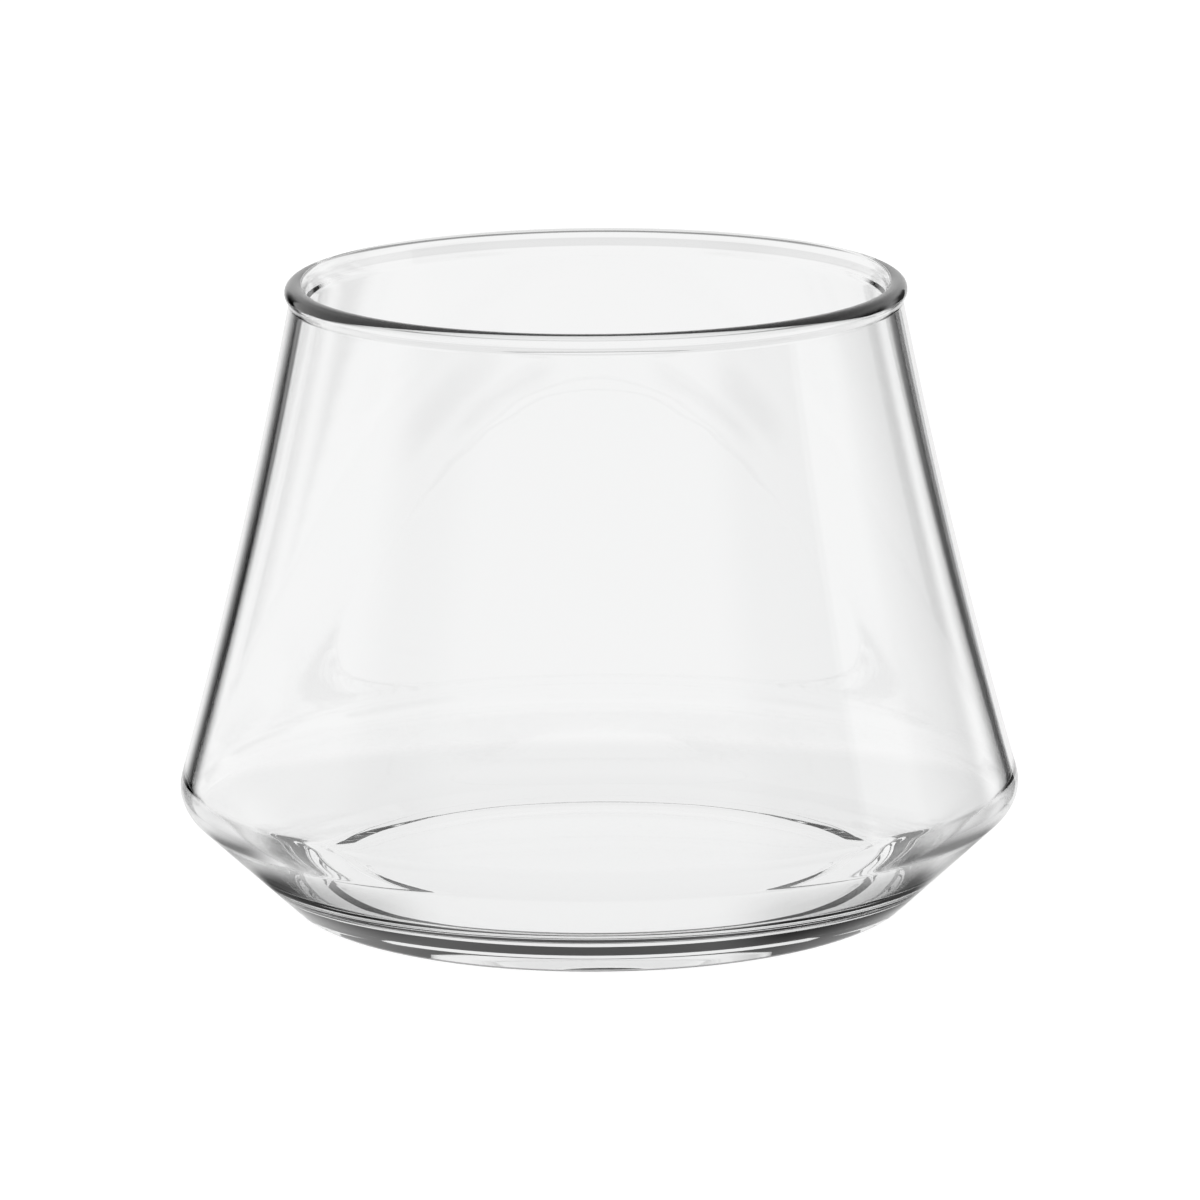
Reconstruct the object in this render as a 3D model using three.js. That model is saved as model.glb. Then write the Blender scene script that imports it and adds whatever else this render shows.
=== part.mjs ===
// Clear drinking glass: a low tumbler whose wall widens downwards to a shoulder, then tapers in to a small foot.
// The whole glass is one round section turned about +Z. Its formed zones meet face to face at level seams.
// Millimetres, +Z up, origin at the centre of the foot, on the table.
import * as THREE from 'three';

// Overall sizes
const HEIGHT = 71.1;
const RIM_DIAMETER = 70;
const SHOULDER_DIAMETER = 96.2; // where the side wall and the bevel would meet before rounding
const SHOULDER_HEIGHT = 12.4;
const FOOT_DIAMETER = 70; // where the bevel would meet the table before rounding

// Rim: a fire-polished bead that stands a little outside the wall
const BEAD_DIAMETER = 2.2;
const NECK_DIAMETER = 69; // outside of the wall, just under the bead
const NECK_DROP = 2.25; // from the top of the rim
const LIP_DROP = 2.7; // where the inside of the wall turns out towards the bead

// Glass thickness, square to the outside of the wall
const WALL_AT_NECK = 2.05;
const WALL_AT_SHOULDER = 1.43;
const BEVEL_AT_SHOULDER = 1.42;
const BEVEL_AT_FOOT = 1.5;
const FLOOR_THICKNESS = 3.5;

// Floor inside: flat in the middle, with a margin that rises gently to the bevel
const FLOOR_DIAMETER = 64.6;
const FLOOR_RISE_ANGLE = 8; // degrees

// Curves
const WALL_HOLLOW = 0.53; // how far the side wall bows in from a straight line
const WALL_CURVE_SHARE = 0.92; // of the wall that is curved, between its straight ends
const FOOT_ROUNDING = 1.7;
const SHOULDER_ROUNDING = 3.5;
const NECK_ROUNDING = 0.8;
const LIP_ROUNDING = 1.5;
const INNER_SHOULDER_ROUNDING = 3.7;
const FLOOR_EDGE_ROUNDING = 0.6;
const HEEL_ROUNDING = 5; // inside, where the floor's margin meets the bevel

// Seams between the zones
const RIM_ZONE_HEIGHT = 4.5;
const SHOULDER_ZONE_RISE = 3.2; // above the shoulder's corner
const SHOULDER_ZONE_DROP = 2.6; // below it
const BASE_ZONE_RISE = 2.2; // above the floor

// Facets
const TURN_STEPS = 64;
const CORNER_STEPS = 4;
const BEAD_STEPS = 12;
const WALL_STEPS = 6;

const at = (radius, height) => new THREE.Vector2(radius, height);

// Points along an arc about a centre, both ends included
function arc(centre, radius, startAngle, endAngle, steps) {
  return Array.from({ length: steps + 1 }, (_, i) => {
    const angle = THREE.MathUtils.lerp(startAngle, endAngle, i / steps);
    return at(centre.x + radius * Math.cos(angle), centre.y + radius * Math.sin(angle));
  });
}

// A corner rounded by an arc that touches both of its sides and takes up no more than a share of the shorter one
function roundedCorner(before, corner, after, radius, steps, share = 0.5) {
  const back = before.clone().sub(corner);
  const ahead = after.clone().sub(corner);
  const halfAngle = Math.acos(back.dot(ahead) / (back.length() * ahead.length())) / 2;
  const limit = share * Math.min(back.length(), ahead.length());
  const touch = Math.min(radius / Math.tan(halfAngle), limit);
  const fitted = touch * Math.tan(halfAngle);
  const middle = back.clone().normalize().add(ahead.clone().normalize()).normalize();
  const centre = corner.clone().addScaledVector(middle, fitted / Math.sin(halfAngle));
  const start = corner.clone().addScaledVector(back.normalize(), touch).sub(centre).angle();
  const end = corner.clone().addScaledVector(ahead.normalize(), touch).sub(centre).angle();
  const turn = THREE.MathUtils.euclideanModulo(end - start + Math.PI, 2 * Math.PI) - Math.PI;
  return arc(centre, fitted, start, start + turn, steps);
}

// Direction from a circle's centre to where a line from an outside point touches it
function touchAngle(centre, radius, outside, side) {
  const away = outside.clone().sub(centre);
  return away.angle() + side * Math.acos(radius / away.length());
}

// Where two lines cross, each given by a point and a direction
function crossing(pointA, alongA, pointB, alongB) {
  const share = pointB.clone().sub(pointA).cross(alongB) / alongA.cross(alongB);
  return pointA.clone().addScaledVector(alongA, share);
}

// Middle of a side wall that bows in by the given amount: where the tangents at its two ends cross
function hollowMiddle(lower, upper, hollow) {
  const along = upper.clone().sub(lower).normalize();
  return lower.clone().lerp(upper, 0.5).add(at(-along.y, along.x).multiplyScalar(2 * hollow));
}

// Square to a line and towards the inside of the glass, for a line that runs up the outside
const inwards = (lower, upper) => at(lower.y - upper.y, upper.x - lower.x).normalize();

// Corners of the outside
const footCentre = at(0, 0);
const footCorner = at(FOOT_DIAMETER / 2, 0);
const shoulderCorner = at(SHOULDER_DIAMETER / 2, SHOULDER_HEIGHT);
const neckCorner = at(NECK_DIAMETER / 2, HEIGHT - NECK_DROP);
const wallMiddle = hollowMiddle(shoulderCorner, neckCorner, WALL_HOLLOW);
const beadRadius = BEAD_DIAMETER / 2;
const beadCentre = at(RIM_DIAMETER / 2 - beadRadius, HEIGHT - beadRadius);

// Corners of the inside, set off from the outside by the thickness of the glass
const wallInwards = inwards(shoulderCorner, neckCorner);
const bevelInwards = inwards(footCorner, shoulderCorner);
const wallInsideTop = neckCorner.clone().addScaledVector(wallInwards, WALL_AT_NECK);
const wallInsideFoot = shoulderCorner.clone().addScaledVector(wallInwards, WALL_AT_SHOULDER);
const bevelInsideTop = shoulderCorner.clone().addScaledVector(bevelInwards, BEVEL_AT_SHOULDER);
const bevelInsideFoot = footCorner.clone().addScaledVector(bevelInwards, BEVEL_AT_FOOT);
const wallInsideRun = wallInsideTop.clone().sub(wallInsideFoot);
const bevelInsideRun = bevelInsideTop.clone().sub(bevelInsideFoot);
const innerShoulder = crossing(wallInsideFoot, wallInsideRun, bevelInsideTop, bevelInsideRun);
const floorCentre = at(0, FLOOR_THICKNESS);
const floorEdge = at(FLOOR_DIAMETER / 2, FLOOR_THICKNESS);
const floorRise = THREE.MathUtils.degToRad(FLOOR_RISE_ANGLE);
const heelCorner = crossing(floorEdge, at(Math.cos(floorRise), Math.sin(floorRise)), bevelInsideTop, bevelInsideRun);
const lipCorner = crossing(at(0, HEIGHT - LIP_DROP), at(1, 0), wallInsideFoot, wallInsideRun);
const innerWallMiddle = hollowMiddle(innerShoulder, lipCorner, WALL_HOLLOW);

// Half of the section, from the axis under the foot, up the outside, over the rim and down to the floor's centre
const touchOutside = touchAngle(beadCentre, beadRadius, neckCorner, 1);
const touchInside = touchAngle(beadCentre, beadRadius, lipCorner, -1);
const bead = arc(beadCentre, beadRadius, touchOutside - 2 * Math.PI, touchInside, BEAD_STEPS);
const section = [
  footCentre,
  ...roundedCorner(footCentre, footCorner, shoulderCorner, FOOT_ROUNDING, CORNER_STEPS),
  ...roundedCorner(footCorner, shoulderCorner, wallMiddle, SHOULDER_ROUNDING, CORNER_STEPS),
  ...roundedCorner(shoulderCorner, wallMiddle, neckCorner, Infinity, WALL_STEPS, WALL_CURVE_SHARE),
  ...roundedCorner(wallMiddle, neckCorner, bead[0], NECK_ROUNDING, CORNER_STEPS),
  ...bead,
  ...roundedCorner(bead[BEAD_STEPS], lipCorner, innerWallMiddle, LIP_ROUNDING, CORNER_STEPS),
  ...roundedCorner(lipCorner, innerWallMiddle, innerShoulder, Infinity, WALL_STEPS, WALL_CURVE_SHARE),
  ...roundedCorner(innerWallMiddle, innerShoulder, heelCorner, INNER_SHOULDER_ROUNDING, CORNER_STEPS),
  ...roundedCorner(innerShoulder, heelCorner, floorEdge, HEEL_ROUNDING, CORNER_STEPS),
  ...roundedCorner(heelCorner, floorEdge, floorCentre, FLOOR_EDGE_ROUNDING, CORNER_STEPS),
  floorCentre,
];

// The stretch of the section between two level planes
function sectionBetween(low, high) {
  const kept = [];
  section.forEach((here, i) => {
    const last = section[Math.max(i - 1, 0)];
    const crossed = [low, high].filter((level) => (last.y - level) * (here.y - level) < 0);
    crossed.sort((a, b) => (a - b) * (here.y - last.y));
    for (const level of crossed) {
      const share = (level - last.y) / (here.y - last.y);
      kept.push(at(THREE.MathUtils.lerp(last.x, here.x, share), level));
    }
    if (here.y >= low && here.y <= high) kept.push(here);
  });
  return kept;
}

function clearGlass() {
  return new THREE.MeshStandardMaterial({
    color: 0xf2f4f4,
    roughness: 0.02,
    metalness: 0,
    transparent: true,
    opacity: 0.35,
  });
}

function glassZone(name, low, high) {
  const outline = sectionBetween(low, high);
  if (outline[0].x > 0) outline.push(outline[0].clone());
  const geometry = new THREE.LatheGeometry(outline, TURN_STEPS);
  geometry.rotateX(Math.PI / 2);
  const mesh = new THREE.Mesh(geometry, clearGlass());
  mesh.name = name;
  return mesh;
}

const baseSeam = FLOOR_THICKNESS + BASE_ZONE_RISE;
const bevelSeam = SHOULDER_HEIGHT - SHOULDER_ZONE_DROP;
const wallSeam = SHOULDER_HEIGHT + SHOULDER_ZONE_RISE;
const rimSeam = HEIGHT - RIM_ZONE_HEIGHT;

const glass = new THREE.Group();
glass.add(
  glassZone('base', -Infinity, baseSeam),
  glassZone('heel_bevel', baseSeam, bevelSeam),
  glassZone('shoulder', bevelSeam, wallSeam),
  glassZone('side_wall', wallSeam, rimSeam),
  glassZone('rim_bead', rimSeam, Infinity),
);

export default glass;
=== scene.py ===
"""A clear drinking glass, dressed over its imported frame: one turned glass body on a pale floor."""
import math

import bpy
from mathutils import Matrix, Vector


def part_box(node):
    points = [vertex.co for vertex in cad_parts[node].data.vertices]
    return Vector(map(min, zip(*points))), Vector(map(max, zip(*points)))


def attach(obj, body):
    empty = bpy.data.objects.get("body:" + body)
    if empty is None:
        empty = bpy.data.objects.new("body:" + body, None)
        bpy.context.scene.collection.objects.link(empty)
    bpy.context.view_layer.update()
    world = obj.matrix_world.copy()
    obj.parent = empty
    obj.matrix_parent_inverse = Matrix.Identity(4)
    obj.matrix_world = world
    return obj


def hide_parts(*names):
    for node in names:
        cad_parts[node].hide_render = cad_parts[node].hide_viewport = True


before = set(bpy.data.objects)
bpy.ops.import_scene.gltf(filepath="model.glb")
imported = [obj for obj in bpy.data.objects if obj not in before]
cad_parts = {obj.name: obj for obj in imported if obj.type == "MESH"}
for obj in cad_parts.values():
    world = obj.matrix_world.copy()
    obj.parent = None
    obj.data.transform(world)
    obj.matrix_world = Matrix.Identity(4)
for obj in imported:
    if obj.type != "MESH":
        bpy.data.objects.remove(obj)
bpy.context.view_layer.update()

MM = 0.001
GLASS_ZONES = ("base", "heel_bevel", "shoulder", "side_wall", "rim_bead")

# Outside of the glass, in metres
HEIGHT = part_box("rim_bead")[1].z
RIM_RADIUS = 35 * MM
SHOULDER_RADIUS = 48.1 * MM
SHOULDER_HEIGHT = 12.4 * MM
FOOT_RADIUS = 35 * MM
BEAD_RADIUS = 1.1 * MM
NECK_RADIUS = 34.5 * MM
NECK_DROP = 2.25 * MM
LIP_DROP = 2.7 * MM

# Thickness of the glass
WALL_AT_NECK = 2.05 * MM
WALL_AT_SHOULDER = 1.43 * MM
BEVEL_AT_SHOULDER = 1.42 * MM
BEVEL_AT_FOOT = 1.5 * MM
FLOOR_THICKNESS = 3.5 * MM

# Floor inside: flat in the middle, with a margin that rises gently to the bevel
FLOOR_RADIUS = 31.5 * MM
FLOOR_RISE = math.radians(12)

# Low ridge that rings the flat of the floor
RING_WIDTH = 2.2 * MM
RING_HEIGHT = 0.45 * MM

# Curves
WALL_HOLLOW = 0.53 * MM
FOOT_ROUNDING = 1.7 * MM
SHOULDER_ROUNDING = 3.5 * MM
NECK_ROUNDING = 0.8 * MM
LIP_ROUNDING = 1.5 * MM
INNER_SHOULDER_ROUNDING = 3.4 * MM
HEEL_ROUNDING = 10 * MM
RING_ROUNDING = 0.4 * MM
WALL_ROUNDING = 730 * MM

# Fineness of the glass body
TURN_STEPS = 216
ARC_STEPS = 14
LONGEST_STEP = 0.9 * MM
WELD_DISTANCE = 0.002 * MM

# Glass
GLASS_IOR = 1.5
TINT_SCALE = 45.0
TINT_DEEP = (0.994, 0.997, 0.997, 1)
TINT_CLEAR = (1, 1, 1, 1)
RIPPLE_SCALE = 90.0
RIPPLE_HEIGHT = 0.006 * MM

# Camera, solved from the outline of the glass
CAMERA_DISTANCE = 0.868
CAMERA_ELEVATION = math.radians(12.54)
CAMERA_ROLL = math.radians(0.41)
AIM_HEIGHT = 34.17 * MM
AIM_SIDE = 0.22 * MM
SENSOR_WIDTH = 36.0
FOCAL_PIXELS = 7656.8
PICTURE_PIXELS = 1200
LENS = FOCAL_PIXELS / PICTURE_PIXELS * SENSOR_WIDTH

# Limits on bounces of light. That on reflections is low, so that the front line of the foot stays dark.
LIGHT_BOUNCES = 24
INSIDE_REFLECTIONS = 6

# The floor, a hair under the foot, and how it looks to the camera
FLOOR_HALF_SIDE = 4.0
FLOOR_GAP = 0.05 * MM
FLOOR_COLOUR = (0.2, 0.2, 0.2, 1)
FLOOR_GLOW = 0.93

# The floor near the foot, as the glass shows it: how far it reaches in millimetres, its brightness, and
# the shades on it. A shade is its middle, half-width and softness in degrees round the foot, its inner and
# outer edge in millimetres, each with half of its soft width, and its brightness.
FLOOR_SHOWN = 70
FLOOR_GONE = 78
FLOOR_LEVEL = 0.85
FLOOR_SHADES = {
    "left shade": (-94, 15, 9, (46, 4), (58, 5), 0.16),
    "right shade": (100, 25, 10, (46, 4), (59, 5), 0.18),
    "left foot shade": (-117, 27, 9, (37.5, 1.5), (42, 1.5), 0.1),
    "right foot shade": (125, 27, 9, (36.5, 1.5), (42, 1.5), 0.12),
}

# Studio that the glass shows beyond it, laid in this order over a plain surround. A card is its left and
# right side in degrees of azimuth from straight behind the glass, and its foot and top in degrees of
# elevation, each with half of its soft width, and then its brightness.
SURROUND_LEVEL = 0.9
STUDIO_CARDS = {
    "floor farther off": ((-121.8, 1), (117.9, 1), (-77.2, 7.8), (-7.6, 2.2), 0.92),
    "shade on the floor behind": ((-20, 4), (30, 4), (-67, 3.5), (-33, 3), 0.25),
    "left box": ((-112, 14), (-24.6, 1), (-5.9, 14.4), (22, 16.3), 1.0),
    "right card": ((22.5, 3.1), (73.7, 1.7), (-4.7, 1.7), (30, 10), 1.0),
    "gap in the right card": ((47.5, 4.5), (79.4, 1.8), (-22.7, 1), (8.1, 20), 0.0),
    "right box": ((78, 14), (104, 2), (-44.9, 5.1), (39.7, 1.9), 1.0),
    "left flag": ((-33.6, 1.8), (-19.8, 6.5), (-29.7, 1), (14, 7), 0.01),
    "right flag": ((20.7, 1), (36.1, 5.4), (-20, 3), (8, 5), 0.07),
    "above the backdrop": ((-5, 5), (10, 4), (-8, 2), (6, 2), 0.78),
    "gap past the right box": ((101, 0.8), (140, 12), (-5, 6), (26, 6), 0.12),
    "gap past the left box": ((-138, 15), (-106, 10), (-5, 6), (26, 6), 0.34),
    "overhead": ((-200, 1), (200, 1), (16.4, 19.7), (100, 1), 1.0),
    "floor close by": ((-200, 1), (200, 1), (-100, 1), (-43, 1.5), 0.77),
    "behind the camera, left": ((-200, 1), (-136.2, 12.4), (-82.4, 5.3), (30, 15), 0.86),
    "behind the camera, right": ((136.2, 12.4), (200, 1), (-82.4, 5.3), (30, 15), 0.86),
    "top of the backdrop": ((-26.1, 1), (83.7, 1.8), (24, 8), (61.8, 8.3), 0.75),
}


def crossing(point_a, along_a, point_b, along_b):
    """Where two lines of the section cross."""
    share = (point_b - point_a).cross(along_b) / along_a.cross(along_b)
    return point_a + along_a * share


def inwards(lower, upper):
    """Square to a line up the outside, towards the inside of the glass."""
    return Vector((lower.y - upper.y, upper.x - lower.x)).normalized()


def hollow_middle(lower, upper):
    """Where the tangents at the two ends of a side that bows in cross."""
    along = (upper - lower).normalized()
    return (lower + upper) / 2 + Vector((-along.y, along.x)) * 2 * WALL_HOLLOW


def touch_corner(outside, centre, side, at_radius):
    """Where the line from a point that touches the bead's circle meets the bead's own edge."""
    away = outside - centre
    angle = math.atan2(away.y, away.x) + side * math.acos(BEAD_RADIUS / away.length)
    touch = centre + BEAD_RADIUS * Vector((math.cos(angle), math.sin(angle)))
    return crossing(outside, touch - outside, Vector((at_radius, 0)), Vector((0, 1)))


def section_corners():
    """Corners of half of the section, as name, place (radius from the axis, height) and rounding."""
    foot = Vector((FOOT_RADIUS, 0))
    shoulder = Vector((SHOULDER_RADIUS, SHOULDER_HEIGHT))
    neck = Vector((NECK_RADIUS, HEIGHT - NECK_DROP))
    wall_in, bevel_in = inwards(shoulder, neck), inwards(foot, shoulder)
    wall_top = neck + wall_in * WALL_AT_NECK
    wall_foot = shoulder + wall_in * WALL_AT_SHOULDER
    bevel_top = shoulder + bevel_in * BEVEL_AT_SHOULDER
    bevel_foot = foot + bevel_in * BEVEL_AT_FOOT
    wall_run, bevel_run = wall_top - wall_foot, bevel_top - bevel_foot
    level = Vector((1, 0))
    inner_shoulder = crossing(wall_foot, wall_run, bevel_top, bevel_run)
    floor_edge = Vector((FLOOR_RADIUS, FLOOR_THICKNESS))
    rise = Vector((math.cos(FLOOR_RISE), math.sin(FLOOR_RISE)))
    heel = crossing(floor_edge, rise, bevel_top, bevel_run)
    lip = crossing(Vector((0, HEIGHT - LIP_DROP)), level, wall_foot, wall_run)
    bead_centre = Vector((RIM_RADIUS - BEAD_RADIUS, HEIGHT - BEAD_RADIUS))
    bead_inside = RIM_RADIUS - 2 * BEAD_RADIUS
    return (
        ("Foot Centre", Vector((0, 0)), 0),
        ("Foot", foot, FOOT_ROUNDING),
        ("Shoulder", shoulder, SHOULDER_ROUNDING),
        ("Wall Middle", hollow_middle(shoulder, neck), WALL_ROUNDING),
        ("Neck", neck, NECK_ROUNDING),
        ("Bead Below", touch_corner(neck, bead_centre, 1, RIM_RADIUS), BEAD_RADIUS),
        ("Bead Outside", Vector((RIM_RADIUS, HEIGHT)), BEAD_RADIUS),
        ("Bead Inside", Vector((bead_inside, HEIGHT)), BEAD_RADIUS),
        ("Bead Lip", touch_corner(lip, bead_centre, -1, bead_inside), BEAD_RADIUS),
        ("Lip", lip, LIP_ROUNDING),
        ("Inner Wall Middle", hollow_middle(inner_shoulder, lip), WALL_ROUNDING),
        ("Inner Shoulder", inner_shoulder, INNER_SHOULDER_ROUNDING),
        ("Heel", heel, HEEL_ROUNDING),
        ("Ring Outside", floor_edge + rise * RING_WIDTH / 2, RING_ROUNDING),
        ("Ring Top", floor_edge + Vector((0, RING_HEIGHT)), RING_ROUNDING),
        ("Ring Inside", floor_edge - level * RING_WIDTH / 2, RING_ROUNDING),
        ("Floor Centre", Vector((0, FLOOR_THICKNESS)), 0),
    )


class Tree:
    """Short calls for building a node tree."""

    def __init__(self, tree):
        self.nodes, self.links = tree.nodes, tree.links

    def add(self, kind, inputs=None, **settings):
        node = self.nodes.new(kind)
        for name, value in settings.items():
            setattr(node, name, value)
        for key, value in (inputs or {}).items():
            self.feed(value, node.inputs[key])
        return node

    def feed(self, value, socket):
        if isinstance(value, bpy.types.NodeSocket):
            self.links.new(value, socket)
        else:
            socket.default_value = value

    def math(self, operation, *values):
        return self.add("ShaderNodeMath", dict(enumerate(values)), operation=operation).outputs[0]

    def rise(self, value, start, end):
        span = {"Value": value, "From Min": start, "From Max": end, "To Min": 0.0, "To Max": 1.0}
        return self.add("ShaderNodeMapRange", span, interpolation_type="SMOOTHSTEP").outputs[0]

    def between(self, value, start, end):
        """1 between two soft edges, each given as its middle and half its width."""
        into = self.rise(value, start[0] - start[1], start[0] + start[1])
        out = self.rise(value, end[0] - end[1], end[0] + end[1])
        return self.math("MULTIPLY", into, self.math("SUBTRACT", 1.0, out))

    def blend(self, share, low, high):
        return self.add("ShaderNodeMix", {0: share, 2: low, 3: high}, data_type="FLOAT").outputs[0]


def turned_section_tree(corners):
    """Geometry Nodes: rounds the corners of a half section and turns it about the Z axis."""
    tree = bpy.data.node_groups.new("turned_section", "GeometryNodeTree")
    face = tree.interface
    for name, _, _ in corners:
        face.new_socket(name, in_out="INPUT", socket_type="NodeSocketVector")
        face.new_socket(name + " Rounding", in_out="INPUT", socket_type="NodeSocketFloat")
    face.new_socket("Arc Steps", in_out="INPUT", socket_type="NodeSocketInt")
    face.new_socket("Turn Steps", in_out="INPUT", socket_type="NodeSocketInt")
    face.new_socket("Longest Step", in_out="INPUT", socket_type="NodeSocketFloat")
    face.new_socket("Material", in_out="INPUT", socket_type="NodeSocketMaterial")
    face.new_socket("Glass", in_out="OUTPUT", socket_type="NodeSocketGeometry")
    build = Tree(tree)
    given = build.add("NodeGroupInput").outputs
    index = build.add("GeometryNodeInputIndex").outputs[0]
    position = build.add("GeometryNodeInputPosition").outputs[0]

    # The section as one curve, with every corner rounded
    place = build.add("GeometryNodeIndexSwitch", data_type="VECTOR")
    rounding = build.add("GeometryNodeIndexSwitch", data_type="FLOAT")
    for switch, suffix in ((place, ""), (rounding, " Rounding")):
        while len(switch.index_switch_items) < len(corners):
            switch.index_switch_items.new()
        build.feed(index, switch.inputs["Index"])
        for number, (name, _, _) in enumerate(corners):
            build.feed(given[name + suffix], switch.inputs[number + 1])
    points = build.add("GeometryNodeMeshLine", {"Count": len(corners)}).outputs[0]
    curve = build.add("GeometryNodeMeshToCurve", {"Mesh": points}).outputs[0]
    curve = build.add("GeometryNodeSetPosition", {"Geometry": curve, "Position": place.outputs[0]}).outputs[0]
    rounded = build.add(
        "GeometryNodeFilletCurve",
        {"Curve": curve, "Count": given["Arc Steps"], "Radius": rounding.outputs[0], "Limit Radius": True},
        mode="POLY",
    ).outputs[0]

    # Straights cut short, so that smooth shading stays flat on them
    after = build.add(
        "GeometryNodeFieldAtIndex",
        {"Index": build.math("ADD", index, 1), "Value": position},
        data_type="FLOAT_VECTOR",
    ).outputs[0]
    gap = build.add("ShaderNodeVectorMath", {0: position, 1: after}, operation="DISTANCE").outputs["Value"]
    cuts = build.math("FLOOR", build.math("DIVIDE", gap, given["Longest Step"]))
    section = build.add("GeometryNodeSubdivideCurve", {"Curve": rounded, "Cuts": cuts}).outputs[0]

    # A grid of section points by turn steps, wrapped round the axis
    size = build.add("GeometryNodeAttributeDomainSize", {"Geometry": section}, component="CURVE")
    across = build.math("ADD", given["Turn Steps"], 1)
    grid = build.add("GeometryNodeMeshGrid", {"Vertices X": size.outputs["Point Count"], "Vertices Y": across})
    row = build.math("FLOOR", build.math("DIVIDE", index, across))
    column = build.math("MODULO", index, across)
    sample = build.add(
        "GeometryNodeSampleIndex",
        {"Geometry": section, "Value": position, "Index": row},
        data_type="FLOAT_VECTOR",
    )
    along = build.add("ShaderNodeSeparateXYZ", {0: sample.outputs[0]}).outputs
    angle = build.math("MULTIPLY", build.math("DIVIDE", column, given["Turn Steps"]), math.tau)
    turned = build.add(
        "ShaderNodeCombineXYZ",
        {
            "X": build.math("MULTIPLY", along["X"], build.math("COSINE", angle)),
            "Y": build.math("MULTIPLY", along["X"], build.math("SINE", angle)),
            "Z": along["Y"],
        },
    ).outputs[0]
    wrapped = build.add("GeometryNodeSetPosition", {"Geometry": grid.outputs[0], "Position": turned}).outputs[0]
    weld = {"Geometry": wrapped, "Distance": WELD_DISTANCE}
    closed = build.add("GeometryNodeMergeByDistance", weld).outputs[0]
    facing = build.add("GeometryNodeFlipFaces", {"Mesh": closed}).outputs[0]
    smooth = build.add("GeometryNodeSetShadeSmooth", {"Geometry": facing}).outputs[0]
    whole = build.add("GeometryNodeRealizeInstances", {"Geometry": smooth}).outputs[0]
    dress = {"Geometry": whole, "Material": given["Material"]}
    finished = build.add("GeometryNodeSetMaterial", dress).outputs[0]
    build.add("NodeGroupOutput", {"Glass": finished})
    return tree


def made_mesh(name, tree, values):
    """Runs a Geometry Nodes tree with the given inputs and returns its result as a plain object."""
    maker = bpy.data.objects.new(name + "_maker", bpy.data.meshes.new(name + "_maker"))
    bpy.context.scene.collection.objects.link(maker)
    modifier = maker.modifiers.new("shape", "NODES")
    modifier.node_group = tree
    for socket in tree.interface.items_tree:
        if socket.in_out == "INPUT":
            modifier[socket.identifier] = values[socket.name]
    evaluated = maker.evaluated_get(bpy.context.evaluated_depsgraph_get())
    mesh = bpy.data.meshes.new_from_object(evaluated)
    mesh.name = name
    bpy.data.objects.remove(maker)
    piece = bpy.data.objects.new(name, mesh)
    bpy.context.scene.collection.objects.link(piece)
    return piece


def clear_glass():
    """Clear glass, a trace less white in places and very slightly wavy, as pressed glass is."""
    material = bpy.data.materials.new("clear_glass")
    material.use_nodes = True
    build = Tree(material.node_tree)
    place = build.add("ShaderNodeTexCoord").outputs["Object"]
    clouds = {"Vector": place, "Scale": TINT_SCALE, "Detail": 2.0}
    cloud = build.add("ShaderNodeTexNoise", clouds).outputs["Fac"]
    ripples = {"Vector": place, "Scale": RIPPLE_SCALE, "Detail": 0.0}
    ripple = build.add("ShaderNodeTexNoise", ripples).outputs["Fac"]
    tint = build.add("ShaderNodeMix", {0: cloud, 6: TINT_DEEP, 7: TINT_CLEAR}, data_type="RGBA").outputs[2]
    waves = {"Height": ripple, "Strength": 1.0, "Distance": RIPPLE_HEIGHT}
    wave = build.add("ShaderNodeBump", waves).outputs[0]
    shader = build.nodes["Principled BSDF"]
    shader.inputs["Roughness"].default_value = 0.0
    shader.inputs["IOR"].default_value = GLASS_IOR
    shader.inputs["Transmission Weight"].default_value = 1.0
    build.feed(tint, shader.inputs["Base Color"])
    build.feed(wave, shader.inputs["Normal"])
    return material


def glass_body():
    corners = section_corners()
    values = {
        "Arc Steps": ARC_STEPS,
        "Turn Steps": TURN_STEPS,
        "Longest Step": LONGEST_STEP,
        "Material": clear_glass(),
    }
    for name, place, rounding in corners:
        values[name] = (place.x, place.y, 0)
        values[name + " Rounding"] = float(rounding)
    body = made_mesh("glass_body", turned_section_tree(corners), values)
    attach(body, "root")
    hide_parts(*GLASS_ZONES)
    return body


def camera():
    data = bpy.data.cameras.new("camera")
    data.sensor_width = SENSOR_WIDTH
    data.lens = LENS
    data.clip_start, data.clip_end = 0.01, 20
    back = Vector((0, -math.cos(CAMERA_ELEVATION), math.sin(CAMERA_ELEVATION)))
    place = Vector((AIM_SIDE, 0, AIM_HEIGHT)) + back * CAMERA_DISTANCE
    turn = back.to_track_quat("Z", "Y").to_matrix().to_4x4()
    cam = bpy.data.objects.new("camera", data)
    cam.matrix_world = Matrix.Translation(place) @ turn @ Matrix.Rotation(-CAMERA_ROLL, 4, "Z")
    bpy.context.scene.collection.objects.link(cam)
    bpy.context.scene.camera = cam


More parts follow.
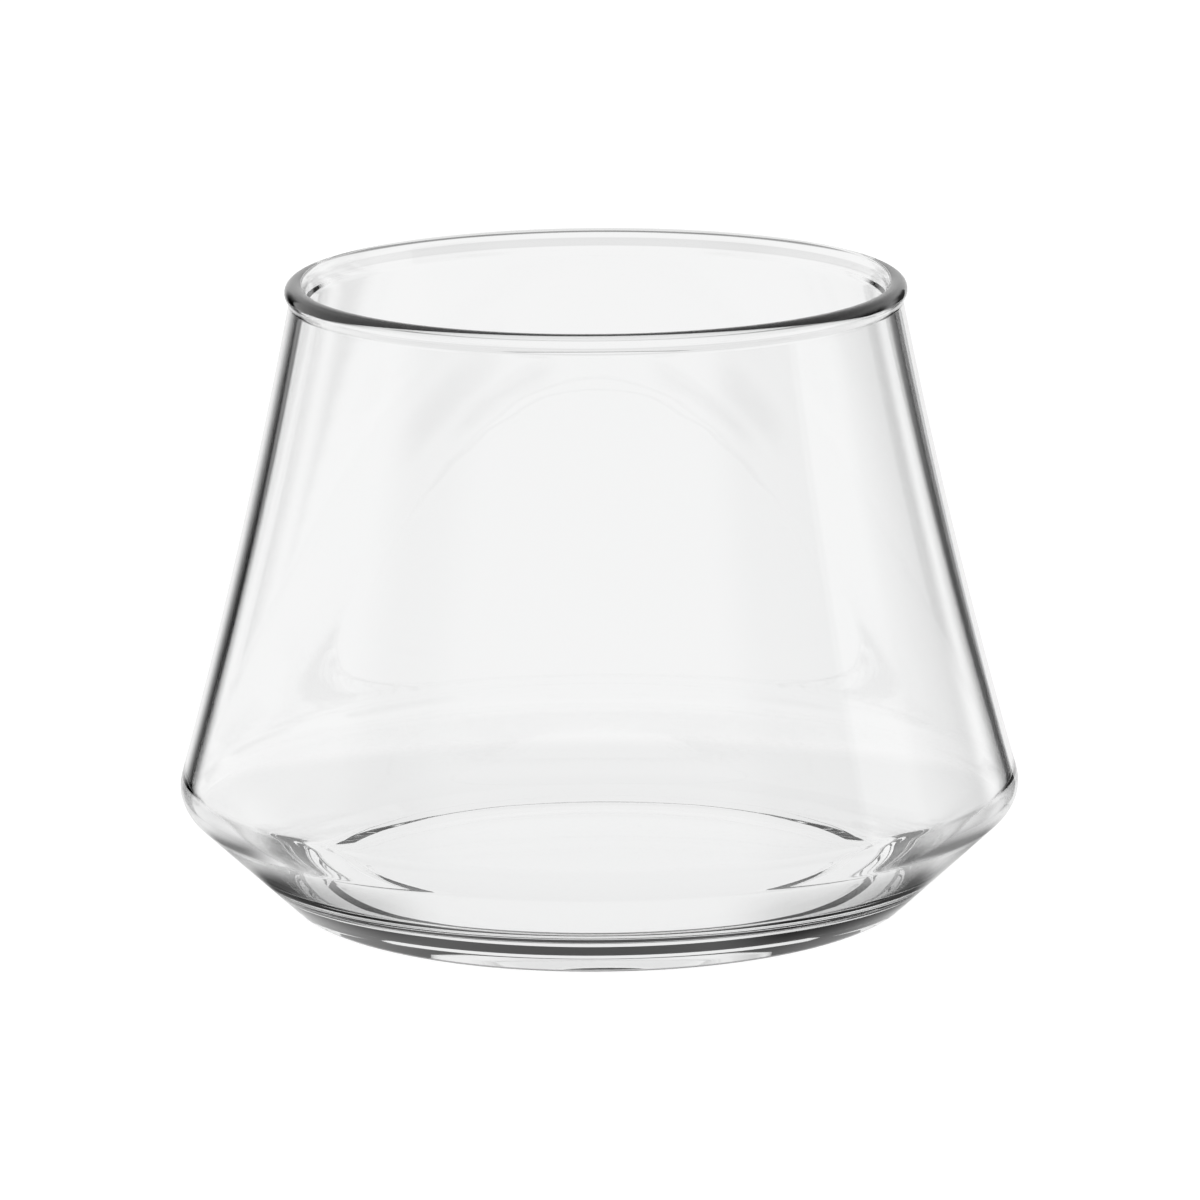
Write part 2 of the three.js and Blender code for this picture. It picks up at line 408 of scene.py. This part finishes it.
def pale_floor():
    """White to the camera. The glass shows its part near the foot, with shades, and the studio beyond."""
    side, under = FLOOR_HALF_SIDE, -FLOOR_GAP
    corners = [(-side, -side, under), (side, -side, under), (side, side, under), (-side, side, under)]
    mesh = bpy.data.meshes.new("floor")
    mesh.from_pydata(corners, [], [(0, 1, 2, 3)])
    floor = bpy.data.objects.new("floor", mesh)
    bpy.context.scene.collection.objects.link(floor)
    material = bpy.data.materials.new("pale_floor")
    material.use_nodes = True
    build = Tree(material.node_tree)
    build.nodes.clear()
    rays = build.add("ShaderNodeLightPath").outputs
    place = build.add("ShaderNodeTexCoord").outputs["Object"]
    along = build.add("ShaderNodeSeparateXYZ", {0: place}).outputs
    turn = build.math("DEGREES", build.math("ARCTAN2", along["X"], along["Y"]))
    metres = build.add("ShaderNodeVectorMath", {0: place}, operation="LENGTH").outputs["Value"]
    reach = build.math("DIVIDE", metres, MM)

    level = FLOOR_LEVEL
    for middle, half, soft, inner, outer, brightness in FLOOR_SHADES.values():
        aside = build.math("WRAP", build.math("SUBTRACT", turn, middle), 180.0, -180.0)
        sector = build.between(aside, (-half, soft), (half, soft))
        shade = build.math("MULTIPLY", sector, build.between(reach, inner, outer))
        level = build.blend(shade, level, brightness)
    near = build.add("ShaderNodeEmission", {"Strength": level}).outputs[0]
    gone = build.add("ShaderNodeBsdfTransparent").outputs[0]
    far = build.rise(reach, FLOOR_SHOWN, FLOOR_GONE)
    in_glass = build.add("ShaderNodeMixShader", {0: far, 1: near, 2: gone}).outputs[0]

    diffuse = build.add("ShaderNodeBsdfDiffuse", {"Color": FLOOR_COLOUR}).outputs[0]
    glow = build.math("MULTIPLY", rays["Is Camera Ray"], FLOOR_GLOW)
    white = build.add("ShaderNodeEmission", {"Strength": glow}).outputs[0]
    seen = build.add("ShaderNodeAddShader", {0: diffuse, 1: white}).outputs[0]
    through = build.math("MAXIMUM", rays["Is Transmission Ray"], rays["Is Glossy Ray"])
    surface = build.add("ShaderNodeMixShader", {0: through, 1: seen, 2: in_glass}).outputs[0]
    build.add("ShaderNodeOutputMaterial", {"Surface": surface})
    mesh.materials.append(material)


def studio():
    """The surround that the glass shows, by direction: white cards, soft boxes and black flags between them."""
    world = bpy.data.worlds.new("studio")
    bpy.context.scene.world = world
    world.use_nodes = True
    build = Tree(world.node_tree)
    build.nodes.clear()
    direction = build.add("ShaderNodeTexCoord").outputs["Generated"]
    along = build.add("ShaderNodeSeparateXYZ", {0: direction}).outputs
    azimuth = build.math("DEGREES", build.math("ARCTAN2", along["X"], along["Y"]))
    elevation = build.math("DEGREES", build.math("ARCSINE", along["Z"]))
    level = SURROUND_LEVEL
    for left, right, foot, top, brightness in STUDIO_CARDS.values():
        card = build.math("MULTIPLY", build.between(azimuth, left, right), build.between(elevation, foot, top))
        level = build.blend(card, level, brightness)
    strength = build.blend(build.add("ShaderNodeLightPath").outputs["Is Camera Ray"], level, 1.0)
    background = build.add("ShaderNodeBackground", {"Color": (1, 1, 1, 1), "Strength": strength}).outputs[0]
    build.add("ShaderNodeOutputWorld", {"Surface": background})


glass_body()
camera()
pale_floor()
studio()
bpy.context.scene.view_settings.view_transform = "Standard"
bpy.context.scene.cycles.max_bounces = LIGHT_BOUNCES
bpy.context.scene.cycles.transmission_bounces = LIGHT_BOUNCES
bpy.context.scene.cycles.glossy_bounces = INSIDE_REFLECTIONS
